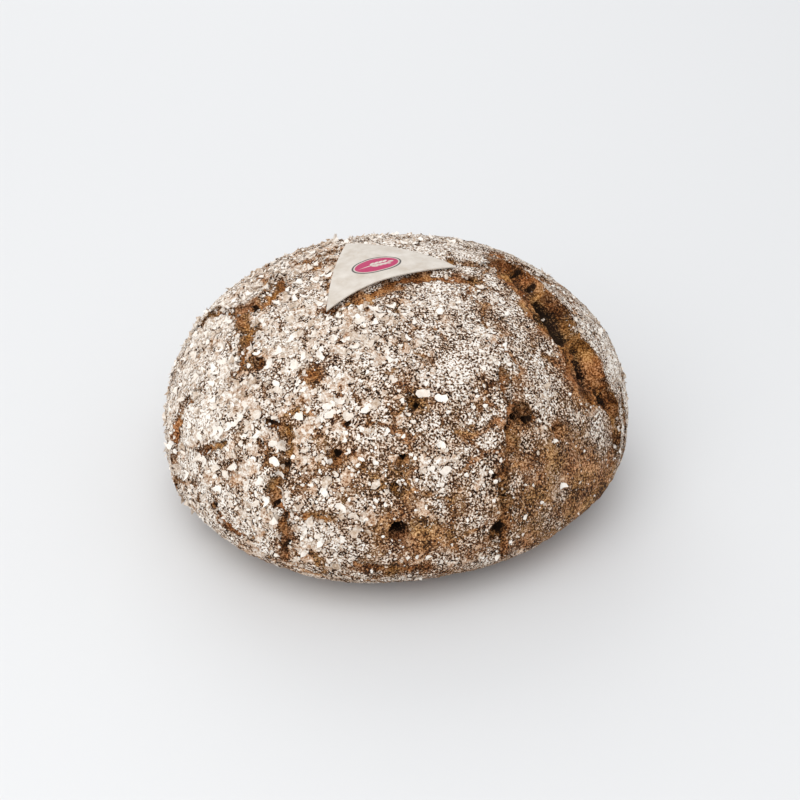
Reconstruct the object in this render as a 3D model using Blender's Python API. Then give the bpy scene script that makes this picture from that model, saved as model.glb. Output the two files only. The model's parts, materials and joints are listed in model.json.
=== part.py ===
"""Rye bread loaf: a round hearth loaf with a torn, floured crust, and the thin wafer label on its crown.

Units are metres and +Z is up. The loaf rests on its flat base at z = 0, with its front towards -Y.
Places on the crust are given as an azimuth and a latitude in degrees, seen from the middle of the
belly: azimuth 0 is the front (-Y) and grows towards +X, and latitude 90 is the crown.
"""
import math

import bmesh
import bpy
from mathutils import Vector, noise

MM = 0.001

# ---------------------------------------------------------------- the loaf's driving dimensions (mm)
BELLY_RADIUS = 93.0         # half of the mean width, at the belly
BELLY_HEIGHT = 25.7         # height of the widest level above the base
DOME_RISE = 68.9            # from the belly up to the crown
UNDER_DROP = 33.4           # depth at which the underside would close, cut off by the base
DOME_POWER = 2.2            # squareness of the dome's profile, 2 being an ellipse
UNDER_POWER = 2.24          # the same below the belly
BASE_BLEND = 6.5            # half-height of the round edge between the side and the base
PLAN_WAVES = ((2, 0.028, -65.0), (3, 0.009, -19.0))     # order, share of the radius, azimuth of its peak
LUMP_HEIGHT = 1.1           # slow swell of the crust
LUMP_LENGTH = 38.0

# ---------------------------------------------------------------- tears in the crust
# Each tear has a depth (mm), a lean and a route of (azimuth, latitude, half-width in mm). The lean says
# where across the tear its bottom lies, from -1 at the lip on the right of the route to 1 on its left.
TEARS = {
    "gape": (9.0, 0.5, ((120, 56, 2), (114, 52, 7), (103, 49, 11), (94, 46, 12), (84, 41, 13), (78, 38, 11),
                   (76, 36, 7), (74, 31, 10), (70, 27, 12), (71, 22, 7), (70, 15, 5), (67, 6, 1))),
    "gape_lead": (2.0, 0.0, ((115, 70, 1.2), (111, 64, 1.8), (112, 54, 2))),
    "gape_upper": (4.0, 0.3, ((140, 54, 1), (136, 50, 2), (125, 46, 4), (121, 38, 3), (118, 26, 1.5))),
    "right_rim": (2.0, 0.2, ((82, 15, 1.2), (78, 8, 2), (76, 0, 1))),
    "crown_seam": (2.5, 0.3, ((-48, 62, 2), (-42, 69, 3), (-30, 74, 3.5), (40, 86, 3.5), (88, 78, 3),
                              (87, 66, 2))),
    "crown_notch": (1.5, 0.0, ((134, 66, 1), (124, 69, 1.6), (113, 70, 1.4))),
    "front_right": (4.0, -0.2, ((41, 43, 1), (37, 37, 2.4), (36, 32, 2.5), (33, 25, 3), (29, 20, 1.6),
                                (26, 15, 2), (28, 10, 2.4), (26, 5, 4), (27, -3, 1.4))),
    "front_left": (3.5, 0.2, ((-37, 29, 1.5), (-31, 29, 2.5), (-28, 25, 3), (-27, 21, 2), (-29, 17, 2.6),
                         (-28, 13, 3), (-26, 10, 2.6), (-25, 4, 2), (-26, -3, 1))),
    "front_left_arm": (3.0, 0.2, ((-26, 10, 2), (-21, 10, 3), (-16, 11, 1.8))),
    "left_side": (4.0, -0.2, ((-66, 23, 1.6), (-67, 18, 3), (-66, 12, 4.4), (-63, 6, 3), (-63, -2, 1.6))),
    "left_inner": (3.0, 0.0, ((-49, 22, 1.4), (-52, 19, 2.6), (-55, 15, 1.4))),
    "upper_left": (3.5, -0.3, ((-108, 49, 3.5), (-92, 51, 5.5), (-83, 48, 4.5), (-81, 44, 3.4),
                               (-83, 40, 2.6))),
    "upper_left_fall": (3.0, 0.0, ((-83, 40, 2.6), (-91, 35, 3), (-97, 27, 1.6))),
    "foot_front": (2.0, 0.0, ((-9, 0, 1.2), (0, -2, 2.4), (8, -2, 1))),
    "foot_left": (2.0, 0.0, ((-46, 6, 1), (-43, 1, 2), (-36, 0, 1.4))),
    "back_fork": (5.0, 0.4, ((-150, 52, 2), (-160, 42, 4), (-172, 31, 5.5), (175, 20, 4.5), (170, 6, 1.6))),
    "back_fork_arm": (3.0, 0.0, ((-172, 31, 3), (178, 37, 2.6), (166, 40, 1.4))),
    "back_left": (3.5, -0.3, ((-126, 42, 1.6), (-134, 31, 3.4), (-130, 18, 3), (-136, 5, 1.6))),
    "back_right": (4.0, 0.3, ((151, 42, 1.8), (145, 31, 3.6), (151, 19, 3), (147, 6, 1.4))),
    "back_side": (3.0, 0.0, ((104, 22, 1.4), (108, 11, 3), (102, 0, 1.4))),
    "foot_back": (2.0, 0.0, ((-166, 5, 1.2), (-155, 1, 2.2), (-146, 3, 1))),
}
LIP_REACH = 1.2             # where a tear's side meets the crust, in half-widths from its middle
# Round holes where the crust broke away: azimuth, latitude, radius (mm), depth (mm)
PITS = (
    (39, 30, 4.2, 4.5), (26, 5, 3.6, 3.0), (1, 9, 3.8, 6.0), (2, 25, 2.6, 3.0), (6, 39, 2.8, 2.5),
    (0, 19, 2.2, 2.0), (-60, 38, 3.4, 4.0), (-15, 25, 3.2, 2.2), (-31, 43, 3.6, 1.4), (48, 22, 2.4, 2.0),
    (69, 26, 3.6, 3.0), (158, 57, 3.0, 2.5), (-142, 12, 3.2, 3.0), (128, 20, 3.4, 3.0), (-112, 14, 3.0, 2.4),
)

# ---------------------------------------------------------------- the label (mm)
LABEL_CORNERS = ((-26.0, -23.0), (-20.0, 33.0), (24.0, 7.0))    # front left, back left, right
LABEL_BOWS = (1.0, 3.5, -2.0)       # how far each edge's middle stands out: left, back, front
LABEL_THICKNESS = 0.5
LABEL_GAP = 0.4                     # clear height between the crust and the label
LABEL_LIFT = 1.0                    # the front edge bridges the seam that it lies over
LABEL_ROWS = 12

# ---------------------------------------------------------------- mesh density
SPHERE_LEVELS = 5
TEAR_EDGE = 3.0             # edges longer than this are split beside a tear (mm)
TEAR_MARGIN = 1.5           # how far past a tear's lip the mesh stays fine (mm)
GAPE_EDGE = 2.4             # the same along the lips of the gape
GAPE_MARGIN = 1.8
CENTRE_REACH = 1.3          # vertices this near to a tear's middle move onto it (mm)
FLAT_ANGLE = math.radians(0.05)


def direction(azimuth, latitude):
    """Unit vector of a place on the crust."""
    turn = math.radians(azimuth)
    rise = math.radians(latitude)
    return Vector((math.sin(turn) * math.cos(rise), -math.cos(turn) * math.cos(rise), math.sin(rise)))


def plan_radius(azimuth):
    """Radius of the belly at an azimuth in radians: a circle with a few slow waves."""
    waves = sum(share * math.cos(order * (azimuth - math.radians(peak))) for order, share, peak in PLAN_WAVES)
    return BELLY_RADIUS * (1.0 + waves)


def smooth_radius(ray):
    """Distance from the belly's middle to the untorn crust along a unit vector."""
    reach = plan_radius(math.atan2(ray.x, -ray.y))
    drop = DOME_RISE if ray.z > 0.0 else UNDER_DROP
    power = DOME_POWER if ray.z > 0.0 else UNDER_POWER
    across = math.hypot(ray.x, ray.y) / reach
    along = abs(ray.z) / drop
    profile = (across ** power + along ** power) ** (-1.0 / power)
    return profile + LUMP_HEIGHT * noise.noise(ray * (profile / LUMP_LENGTH))


def on_base(point):
    """Flatten what would reach below the base, with a round edge, and measure heights from the base."""
    below = -BELLY_HEIGHT
    overlap = max(BASE_BLEND - abs(point.z - below), 0.0)
    height = max(point.z, below) + overlap * overlap / (4.0 * BASE_BLEND)
    return Vector((point.x, point.y, height - below))


def smoothstep(value):
    """Soft step from 0 to 1."""
    value = min(max(value, 0.0), 1.0)
    return value * value * (3.0 - 2.0 * value)


def tear_segments(tears):
    """Tears as straight pieces between places on the untorn crust."""
    segments = []
    for depth, lean, route in tears.values():
        places = [(direction(azimuth, latitude), half_width) for azimuth, latitude, half_width in route]
        places = [(ray * smooth_radius(ray), half_width) for ray, half_width in places]
        for (start, start_width), (end, end_width) in zip(places, places[1:]):
            segments.append((start, end, start_width, end_width, depth, lean))
    return segments


def pit_places():
    """The pits as places on the untorn crust, with their radius and depth."""
    places = []
    for azimuth, latitude, radius, depth in PITS:
        ray = direction(azimuth, latitude)
        places.append((ray * smooth_radius(ray), radius, depth))
    return places


def nearest_on_segment(point, segment):
    """Nearest place on a straight piece of a tear, its distance, and the half-width there."""
    start, end, start_width, end_width = segment[:4]
    run = end - start
    share = min(max((point - start).dot(run) / run.length_squared, 0.0), 1.0)
    place = start + run * share
    return place, (point - place).length, start_width + (end_width - start_width) * share


def groove(point, segments, pits):
    """Depth of the tears and pits at a place on the crust, and its distance past the nearest lip."""
    depth = 0.0
    clearance = math.inf
    for segment in segments:
        place, distance, half_width = nearest_on_segment(point, segment)
        start, end, _, _, tear_depth, lean = segment
        side = math.copysign(1.0, place.cross(end - start).dot(point - place))
        across = side * distance / half_width
        reach = LIP_REACH + lean if across < lean else LIP_REACH - lean
        floor = tear_depth * min(1.0, 0.35 + half_width / tear_depth)
        depth = max(depth, floor * smoothstep(1.0 - abs(across - lean) / reach))
        clearance = min(clearance, distance - half_width)
    for place, radius, pit_depth in pits:
        distance = (point - place).length
        depth = max(depth, pit_depth * smoothstep(1.4 - distance / radius))
        clearance = min(clearance, distance - radius)
    return depth, clearance


def split_edges(mesh, longest, is_near):
    """Split the edges over a length (mm) whose middle, on the untorn crust, is near enough."""
    long_edges = []
    for edge in mesh.edges:
        ends = [vert.co.normalized() for vert in edge.verts]
        ends = [ray * smooth_radius(ray) for ray in ends]
        length = (ends[0] - ends[1]).length
        if length > longest and is_near((ends[0] + ends[1]) / 2.0, length):
            long_edges.append(edge)
    bmesh.ops.subdivide_edges(mesh, edges=long_edges, cuts=1, use_grid_fill=False)
    bmesh.ops.triangulate(mesh, faces=mesh.faces[:], quad_method='SHORT_EDGE')


def refine(mesh, segments, pits):
    """Make the mesh finer beside the tears and pits, and finer again along the gape's lips."""
    split_edges(mesh, TEAR_EDGE,
                lambda place, length: groove(place, segments, pits)[1] < TEAR_MARGIN + length / 4.0)
    gape = tear_segments({"gape": TEARS["gape"]})
    split_edges(mesh, GAPE_EDGE, lambda place, length: abs(groove(place, gape, ())[1]) < GAPE_MARGIN)


def centre_tears(mesh, segments):
    """Move the vertices beside a tear's middle onto it, so that the groove's bottom runs clean."""
    for vert in mesh.verts:
        ray = vert.co.normalized()
        crust = ray * smooth_radius(ray)
        found = [nearest_on_segment(crust, segment)[:2] for segment in segments]
        middle, distance = min(found, key=lambda pair: pair[1])
        if distance < CENTRE_REACH:
            vert.co = middle.normalized()


def flatten_base(mesh):
    """Join the coplanar triangles of the base into one face."""
    base_faces = [face for face in mesh.faces if all(vert.co.z < 1e-7 for vert in face.verts)]
    for face in base_faces:
        for vert in face.verts:
            vert.co.z = 0.0
    base_verts = {vert for face in base_faces for vert in face.verts}
    base_edges = {edge for face in base_faces for edge in face.edges}
    bmesh.ops.dissolve_limit(mesh, angle_limit=FLAT_ANGLE, verts=list(base_verts), edges=list(base_edges))


def new_object(name, mesh, material):
    """Turn a bmesh into an object of the scene with one material."""
    data = bpy.data.meshes.new(name)
    mesh.to_mesh(data)
    mesh.free()
    data.materials.append(material)
    data.shade_smooth()
    data.set_sharp_from_angle(angle=math.radians(50.0))
    thing = bpy.data.objects.new(name, data)
    bpy.context.scene.collection.objects.link(thing)
    return thing


def new_material(name, colour, roughness):
    """A plain material of one colour."""
    material = bpy.data.materials.new(name)
    material.use_nodes = True
    shader = material.node_tree.nodes["Principled BSDF"]
    shader.inputs["Base Color"].default_value = (*colour, 1.0)
    shader.inputs["Roughness"].default_value = roughness
    shader.inputs["Metallic"].default_value = 0.0
    material.diffuse_color = (*colour, 1.0)
    return material


def make_loaf():
    """The whole uncut loaf as one solid: a swollen sphere, torn, and flat below."""
    segments = tear_segments(TEARS)
    pits = pit_places()
    mesh = bmesh.new()
    bmesh.ops.create_icosphere(mesh, subdivisions=SPHERE_LEVELS, radius=1.0)
    refine(mesh, segments, pits)
    centre_tears(mesh, segments)
    for vert in mesh.verts:
        ray = vert.co.normalized()
        crust = ray * smooth_radius(ray)
        depth, _ = groove(crust, segments, pits)
        vert.co = on_base(crust - ray * depth) * MM
    flatten_base(mesh)
    return new_object("loaf", mesh, new_material("Rye crust", (0.50, 0.38, 0.27), 0.9))


def crust_height(x, y):
    """Height of the untorn crust above the belly at a place on the crown (mm)."""
    height = DOME_RISE
    for _ in range(8):
        place = Vector((x, y, height))
        height *= smooth_radius(place.normalized()) / place.length
    return height


def label_place(weights):
    """Plan position of a place in the label, given its share of each corner."""
    corners = [Vector((x, y)) for x, y in LABEL_CORNERS]
    place = sum((corner * weight for corner, weight in zip(corners, weights)), Vector((0.0, 0.0)))
    for index, bow in enumerate(LABEL_BOWS):
        other = (index + 1) % 3
        edge = (corners[other] - corners[index]).normalized()
        outward = Vector((-edge.y, edge.x))
        place += outward * bow * 4.0 * weights[index] * weights[other]
    return place


def make_label():
    """The wafer: a thin three-cornered sheet that follows the crown and bridges its seam."""
    mesh = bmesh.new()
    grids = []
    for level in (LABEL_GAP, LABEL_GAP + LABEL_THICKNESS):
        grid = {}
        for row in range(LABEL_ROWS + 1):
            for column in range(LABEL_ROWS + 1 - row):
                weights = (row / LABEL_ROWS, column / LABEL_ROWS, 1.0 - (row + column) / LABEL_ROWS)
                place = label_place(weights)
                lift = LABEL_LIFT * 4.0 * weights[0] * weights[2]
                height = BELLY_HEIGHT + crust_height(place.x, place.y) + level + lift
                grid[row, column] = mesh.verts.new(Vector((place.x, place.y, height)) * MM)
        grids.append(grid)
    for grid, facing in zip(grids, (1, -1)):
        for row in range(LABEL_ROWS):
            for column in range(LABEL_ROWS - row):
                near = [grid[row, column], grid[row + 1, column], grid[row, column + 1]]
                mesh.faces.new(near[::facing])
                if row + column < LABEL_ROWS - 1:
                    far = [grid[row + 1, column + 1], grid[row, column + 1], grid[row + 1, column]]
                    mesh.faces.new(far[::facing])
    rim = [(row, 0) for row in range(LABEL_ROWS)]
    rim += [(LABEL_ROWS - step, step) for step in range(LABEL_ROWS)]
    rim += [(0, LABEL_ROWS - step) for step in range(LABEL_ROWS)]
    for here, there in zip(rim, rim[1:] + rim[:1]):
        mesh.faces.new((grids[0][here], grids[1][here], grids[1][there], grids[0][there]))
    bmesh.ops.recalc_face_normals(mesh, faces=mesh.faces[:])
    return new_object("label", mesh, new_material("Wafer", (0.86, 0.82, 0.74), 0.7))


def centre_on_origin(loaf, others):
    """Move every piece so that the loaf's plan is centred on the origin."""
    corners = [Vector(corner) for corner in loaf.bound_box]
    middle_x = (min(c.x for c in corners) + max(c.x for c in corners)) / 2.0
    middle_y = (min(c.y for c in corners) + max(c.y for c in corners)) / 2.0
    for thing in [loaf, *others]:
        for vert in thing.data.vertices:
            vert.co.x -= middle_x
            vert.co.y -= middle_y
        thing.data.update()


def main():
    for thing in list(bpy.data.objects):
        bpy.data.objects.remove(thing)
    loaf = make_loaf()
    label = make_label()
    centre_on_origin(loaf, [label])
    for thing in (loaf, label):
        triangles = sum(len(face.vertices) - 2 for face in thing.data.polygons)
        print(thing.name, triangles, "triangles")


main()
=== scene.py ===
"""Rye bread loaf: the finish of its torn crust, the flour, meal and bran on it, and its wafer label.

The loaf stands on z = 0 with its front towards -Y. Places on the crust are given as an azimuth and a
latitude in degrees, seen from the middle of the belly: azimuth 0 is the front and grows towards +X, and
latitude 90 is the crown. Lengths are in millimetres up to the last step, where a mesh is made in metres.
"""
import json
import math

import bmesh
import bpy
import numpy as np
from bpy.props import FloatProperty, FloatVectorProperty, IntProperty, PointerProperty
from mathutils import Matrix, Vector, noise

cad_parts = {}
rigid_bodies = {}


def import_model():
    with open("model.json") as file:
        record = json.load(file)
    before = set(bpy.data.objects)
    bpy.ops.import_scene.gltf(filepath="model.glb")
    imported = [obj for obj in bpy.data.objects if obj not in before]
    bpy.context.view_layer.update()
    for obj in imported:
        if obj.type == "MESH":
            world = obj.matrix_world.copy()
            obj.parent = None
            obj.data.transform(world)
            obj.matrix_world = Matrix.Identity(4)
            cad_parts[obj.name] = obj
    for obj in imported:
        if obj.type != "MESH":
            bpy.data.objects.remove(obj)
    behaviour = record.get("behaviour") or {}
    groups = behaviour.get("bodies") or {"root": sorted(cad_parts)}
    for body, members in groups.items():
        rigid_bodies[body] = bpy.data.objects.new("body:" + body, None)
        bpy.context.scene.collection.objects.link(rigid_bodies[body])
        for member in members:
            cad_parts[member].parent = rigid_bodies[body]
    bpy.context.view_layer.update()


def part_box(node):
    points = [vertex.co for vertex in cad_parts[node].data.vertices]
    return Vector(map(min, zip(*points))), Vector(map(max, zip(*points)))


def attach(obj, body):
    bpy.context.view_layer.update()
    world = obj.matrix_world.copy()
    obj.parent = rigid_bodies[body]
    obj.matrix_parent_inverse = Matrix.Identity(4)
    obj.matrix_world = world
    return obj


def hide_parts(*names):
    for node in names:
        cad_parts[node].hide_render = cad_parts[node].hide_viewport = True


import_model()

bl_info = {
    "name": "Rye Loaf Finish",
    "version": (1, 0, 0),
    "blender": (4, 5, 0),
    "location": "View3D > Sidebar > Rye Loaf",
    "description": "Finishes a rye hearth loaf: torn crust, flour, meal, bran flakes and a wafer label",
    "category": "Object",
}

MM = 0.001
LOAF_LOW, LOAF_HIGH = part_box("loaf")
LOAF_SIZE = (LOAF_HIGH - LOAF_LOW) / MM
LOAF_MIDDLE = (LOAF_HIGH + LOAF_LOW) / 2.0 / MM

# ---------------------------------------------------------------- the loaf's form (mm)
BELLY_RADIUS = (LOAF_SIZE.x + LOAF_SIZE.y) / 4.0
BELLY_HEIGHT = 0.2716 * LOAF_SIZE.z     # the widest level
DOME_RISE = LOAF_SIZE.z - BELLY_HEIGHT
UNDER_DROP = 1.3 * BELLY_HEIGHT         # depth at which the underside would close, cut off by the base
DOME_POWER = 2.2
UNDER_POWER = 2.24
BASE_BLEND = 6.5
GEODESIC_CUTS = 40      # cuts of each edge of the twenty-sided ball that the crust's mesh starts from
PLAN_WAVES = ((2, 0.028, -65.0), (3, 0.009, -19.0))     # order, share of the radius, azimuth of its peak
LUMP_HEIGHT = 1.1
LUMP_LENGTH = 38.0

# Each tear: depth (mm), lean, curl of its lips (mm), route of (azimuth, latitude, half-width in mm). The lean
# says where across the tear its bottom lies, from -1 at the lip on the right of the route to 1 on its left.
TEARS = {
    "gape": (12.5, 0.6, 0.9, ((95, 47, 6), (88, 44, 12), (81, 41, 12.5), (76, 37, 8.5), (74, 34, 5.5))),
    "gape_top": (6.5, 0.3, 0.9, ((119, 56, 2), (111, 53, 7), (102, 51, 10), (94, 48, 10), (89, 45, 6))),
    "gape_low": (7.5, 0.15, 0.9, ((75, 33, 5), (73, 30, 11), (69.5, 27, 12), (71, 20, 6.2), (72.5, 15, 4.6),
                                  (71.5, 11.5, 4.2), (70.2, 8.5, 3.6), (69.3, 6, 2.6), (69, 3, 1))),
    "gape_lead": (2.0, 0.0, 0.4, ((115, 70, 1.2), (111, 64, 1.8), (112, 54, 2))),
    "gape_upper": (3.0, 0.0, 0.4, ((139, 53, 1.4), (132, 50, 3.6), (126, 48.5, 5.4), (121, 46.5, 6), (117, 43.5, 4),
                                   (112, 40, 1.2))),
    "right_rim": (2.0, 0.2, 0.3, ((82, 15, 1.2), (78, 8, 2), (76, 0, 1))),
    "crown_seam": (2.5, 0.3, 0.5, ((-48, 62, 2), (-42, 69, 3), (-30, 74, 4), (40, 86, 4.5), (88, 78, 4),
                                   (87, 66, 2))),
    "crown_notch": (1.5, 0.0, 0.3, ((134, 66, 1), (124, 69, 1.6), (113, 70, 1.4))),
    "front_right": (4.0, -0.2, 0.3, ((41, 43, 1), (38, 38, 2.2), (37, 34, 1.2), (36, 31, 2.6), (33, 26, 2.8),
                                     (30, 21, 1.2), (27, 17, 1.6), (27, 12, 1.2), (28, 9, 2), (26, 5, 3.6),
                                     (27, -3, 1.2))),
    "front_left": (3.8, 0.2, 0.5, ((-37, 29, 1.3), (-31, 29, 2), (-28, 25, 2.3), (-27, 21, 1.6), (-29, 17, 2),
                                   (-28, 13, 2.4), (-26, 10, 2.2), (-25, 4, 1.7), (-26, -3, 1))),
    "front_left_arm": (3.0, 0.2, 0.4, ((-26, 10, 2), (-21, 10, 2.2), (-16, 11, 1.5))),
    "left_side": (5.2, 0.6, 0.8, ((-65, 24, 1.4), (-68, 19, 3), (-68, 12, 4.6), (-66, 6, 4), (-66, -3, 2))),
    "left_inner": (3.0, 0.0, 0.8, ((-46, 20, 1.2), (-50, 17, 2), (-54, 13, 1.2))),
    "upper_left": (3.5, 0.2, 1.5, ((-104, 52, 2.5), (-90, 52.5, 5.5), (-82, 49, 4.5), (-83, 45, 2.4), (-86, 41, 2),
                                   (-93, 36, 2), (-97, 31, 2.4), (-93, 27, 1.6))),
    "upper_left_fall": (1.9, -0.2, 1.2, ((-81, 42, 1.2), (-69, 43.5, 4), (-61, 40, 2.6), (-58, 36, 2.2),
                                         (-57, 33, 1.4))),
    "foot_front": (2.0, 0.0, 0.3, ((-9, 0, 1.2), (0, -2, 2.4), (8, -2, 1))),
    "foot_left": (2.0, 0.0, 0.3, ((-46, 6, 1), (-43, 1, 2), (-36, 0, 1.4))),
    "back_fork": (5.0, 0.4, 0.8, ((-150, 52, 2), (-160, 42, 4), (-172, 31, 5.5), (175, 20, 4.5), (170, 6, 1.6))),
    "back_fork_arm": (3.0, 0.0, 0.6, ((-172, 31, 3), (178, 37, 2.6), (166, 40, 1.4))),
    "back_left": (3.5, -0.3, 0.8, ((-126, 42, 1.6), (-134, 31, 3.4), (-130, 18, 3), (-136, 5, 1.6))),
    "back_right": (4.0, 0.3, 0.5, ((151, 42, 1.8), (145, 31, 3.6), (151, 19, 3), (147, 6, 1.4))),
    "back_side": (3.0, 0.0, 0.5, ((104, 22, 1.4), (108, 11, 3), (102, 0, 1.4))),
    "foot_back": (2.0, 0.0, 0.3, ((-166, 5, 1.2), (-155, 1, 2.2), (-146, 3, 1))),
}
# Round holes where the crust broke away: azimuth, latitude, radius (mm), depth (mm)
PITS = (
    (39, 30, 4.2, 4.5), (25, 4, 4.0, 4.0), (1, 9, 3.8, 6.0), (2, 25, 2.6, 3.0), (6, 39, 2.8, 2.5),
    (0, 19, 2.2, 2.0), (-52, 40, 2.6, 2.0), (-15, 25, 3.2, 2.2), (-31, 43, 3.6, 1.4), (48, 22, 2.4, 2.0),
    (69, 26, 3.6, 3.0), (158, 57, 3.0, 2.5), (-142, 12, 3.2, 3.0), (128, 20, 3.4, 3.0), (-112, 14, 3.0, 2.4),
)
# Hollows in the tears and pits, where the dough gave way, painted with shade to nearly black: azimuth, latitude, radius
# (mm), depth (mm)
HOLES = (
    (104, 45, 2.0, 2.5), (72.7, 25.3, 2.4, 5.0), (74, 18, 1.3, 2.0), (73, 14, 1.3, 1.8),
    (38, 30, 2.6, 4.5), (41, 28, 2.0, 4.0), (48, 23, 1.5, 2.5), (26, 18, 1.7, 3.0), (28, 13, 1.6, 2.6),
    (26, 4, 2.8, 4.0), (0, 9, 2.4, 4.5), (2, 26, 1.3, 2.6), (2, 22, 1.2, 2.4), (7, 38, 1.7, 2.8),
    (-14, 33, 1.6, 1.8), (-15, 26, 1.8, 2.4), (-36, 24, 1.6, 2.4), (-27, 21, 1.8, 2.8), (-46, 4, 1.6, 2.2),
    (-60, 39, 1.9, 3.5), (-66, 15, 2.0, 3.0), (-84, 46, 2.4, 2.6), (-28, 12, 1.6, 2.2), (112, 49, 2.4, 3.5),
    (-166, 37, 2.6, 4.0), (-178, 26, 2.8, 4.5), (172, 12, 2.0, 3.0), (-131, 27, 2.0, 3.0), (-133, 12, 1.6, 2.4),
    (147, 28, 2.2, 3.5), (149, 14, 1.8, 2.6), (106, 13, 1.8, 2.8), (-113, 14, 1.8, 2.4), (127, 20, 1.8, 2.6),
)

# Where the flour lies thicker or has rubbed off: azimuth, latitude, radius (mm), change
FLOUR_SPOTS = (
    (52, 8, 32, -0.4), (18, -2, 22, -0.06), (7, 7, 6, -0.7), (66, 30, 14, -0.15), (-12, 20, 18, -0.1),
    (30, 34, 24, -0.08), (38, 54, 16, 0.02), (70, 62, 12, -0.04), (8, 8, 22, -0.12), (5, 40, 16, -0.06),
    (-31, 43, 4, -0.9), (-77, 43, 4, -0.5), (-66, 41, 4, -0.45), (-56, 38, 4, -0.4), (-40, 15, 9, -0.25),
    (-60, 13, 16, 0.22), (-62, 27, 16, 0.16), (-88, 25, 24, 0.2), (60, -5, 16, -0.2), (92, 22, 18, 0.16),
    (25, 19, 12, 0.1), (60, 36, 11, 0.16), (64, 16, 9, 0.2), (57, 18, 10, 0.16), (82, 12, 14, 0.16),
    (-9, 15, 12, -0.14), (-62, 40, 8, 0.12), (71, 10, 5, -0.3), (51, 41, 10, 0.16), (46, 30, 7, 0.12),
    (-80, 55, 20, 0.1), (150, 62, 28, 0.15), (-150, 30, 24, 0.12), (130, 8, 26, -0.3), (-176, 8, 20, -0.2),
    (-100, 64, 9, -0.25),
)

# ---------------------------------------------------------------- the label (mm)
LABEL_CORNERS = np.array(((-26.0, -23.0), (-20.0, 33.0), (24.0, 7.0)))      # front left, back left, right
LABEL_BOWS = (1.0, 3.5, -2.0)       # how far each edge's middle stands out: left, back, front
LABEL_ROWS = 56


def smoothstep(value):
    """Soft step from 0 to 1, of an array."""
    value = np.clip(value, 0.0, 1.0)
    return value * value * (3.0 - 2.0 * value)


def noise_at(points, length, seed):
    """Smooth noise from -1 to 1 at each point, with swells of about the given length."""
    shift = Vector((17.3, -9.1, 5.7)) * seed
    return np.array([noise.noise(Vector(point) / length + shift) for point in points.tolist()])


def noise_vectors_at(points, length, seed):
    """Smooth noise vectors at each point, with swells of about the given length."""
    shift = Vector((17.3, -9.1, 5.7)) * seed
    return np.array([noise.noise_vector(Vector(point) / length + shift) for point in points.tolist()])


def cells_at(points, length, seed):
    """Distances to the nearest and second nearest centre of scattered cells, in cell lengths."""
    shift = Vector((17.3, -9.1, 5.7)) * seed
    found = [noise.voronoi(Vector(point) / length + shift)[0][:2] for point in points.tolist()]
    return np.array(found).reshape(-1, 2).T


# ================================================================ the crust's form
def rays_of(azimuth, latitude):
    """Unit vectors of places on the crust."""
    turn, rise = np.broadcast_arrays(np.radians(azimuth), np.radians(latitude))
    return np.stack([np.sin(turn) * np.cos(rise), -np.cos(turn) * np.cos(rise), np.sin(rise)], axis=-1)


def plan_radius(azimuth):
    """Radius of the belly at azimuths in radians: a circle with a few slow waves."""
    waves = sum(share * np.cos(order * (azimuth - math.radians(peak))) for order, share, peak in PLAN_WAVES)
    return BELLY_RADIUS * (1.0 + waves)


def untorn(rays):
    """Places on the crust before it tore, from the middle of the belly."""
    reach = plan_radius(np.arctan2(rays[:, 0], -rays[:, 1]))
    above = rays[:, 2] > 0.0
    drop = np.where(above, DOME_RISE, UNDER_DROP)
    power = np.where(above, DOME_POWER, UNDER_POWER)
    across = np.hypot(rays[:, 0], rays[:, 1]) / reach
    along = np.abs(rays[:, 2]) / drop
    profile = (across ** power + along ** power) ** (-1.0 / power)
    lumps = noise_at(rays * profile[:, None], LUMP_LENGTH, 0)
    return rays * (profile + LUMP_HEIGHT * lumps)[:, None]


def on_base(points):
    """Flatten what would reach below the base, with a round edge, and centre the plan on the CAD loaf."""
    overlap = np.maximum(BASE_BLEND - np.abs(points[:, 2] + BELLY_HEIGHT), 0.0)
    height = np.maximum(points[:, 2], -BELLY_HEIGHT) + overlap ** 2 / (4.0 * BASE_BLEND)
    placed = points + plan_shift()
    placed[:, 2] = height + BELLY_HEIGHT
    return placed


def plan_shift():
    """How far the middle of the belly lies from the middle of the plan's box."""
    azimuth = np.radians(np.arange(0.0, 360.0, 0.5))
    plan = rays_of(np.degrees(azimuth), 0.0) * plan_radius(azimuth)[:, None]
    middle = (plan.max(axis=0) + plan.min(axis=0)) / 2.0
    return np.array((LOAF_MIDDLE.x - middle[0], LOAF_MIDDLE.y - middle[1], 0.0))


def tear_pieces():
    """Tears as straight pieces and pits as single places, all on the untorn crust, one row each."""
    rows = []
    for depth, lean, curl, route in TEARS.values():
        azimuth, latitude, half_width = np.array(route, float).T
        places = untorn(rays_of(azimuth, latitude))
        steps = np.linalg.norm(np.diff(places, axis=0), axis=1)
        along = np.concatenate([[0.0], np.cumsum(steps)])
        for index, step in enumerate(steps):
            rows.append((*places[index], *places[index + 1], half_width[index], half_width[index + 1],
                         depth, lean, curl, along[index], step, 0.0))
    for azimuth, latitude, radius, depth in PITS:
        place = untorn(rays_of(np.array([azimuth]), np.array([latitude])))[0]
        rows.append((*place, *place, radius, radius, depth, 0.0, 0.3, 0.0, 0.0, 1.0))
    return np.array(rows)


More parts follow.
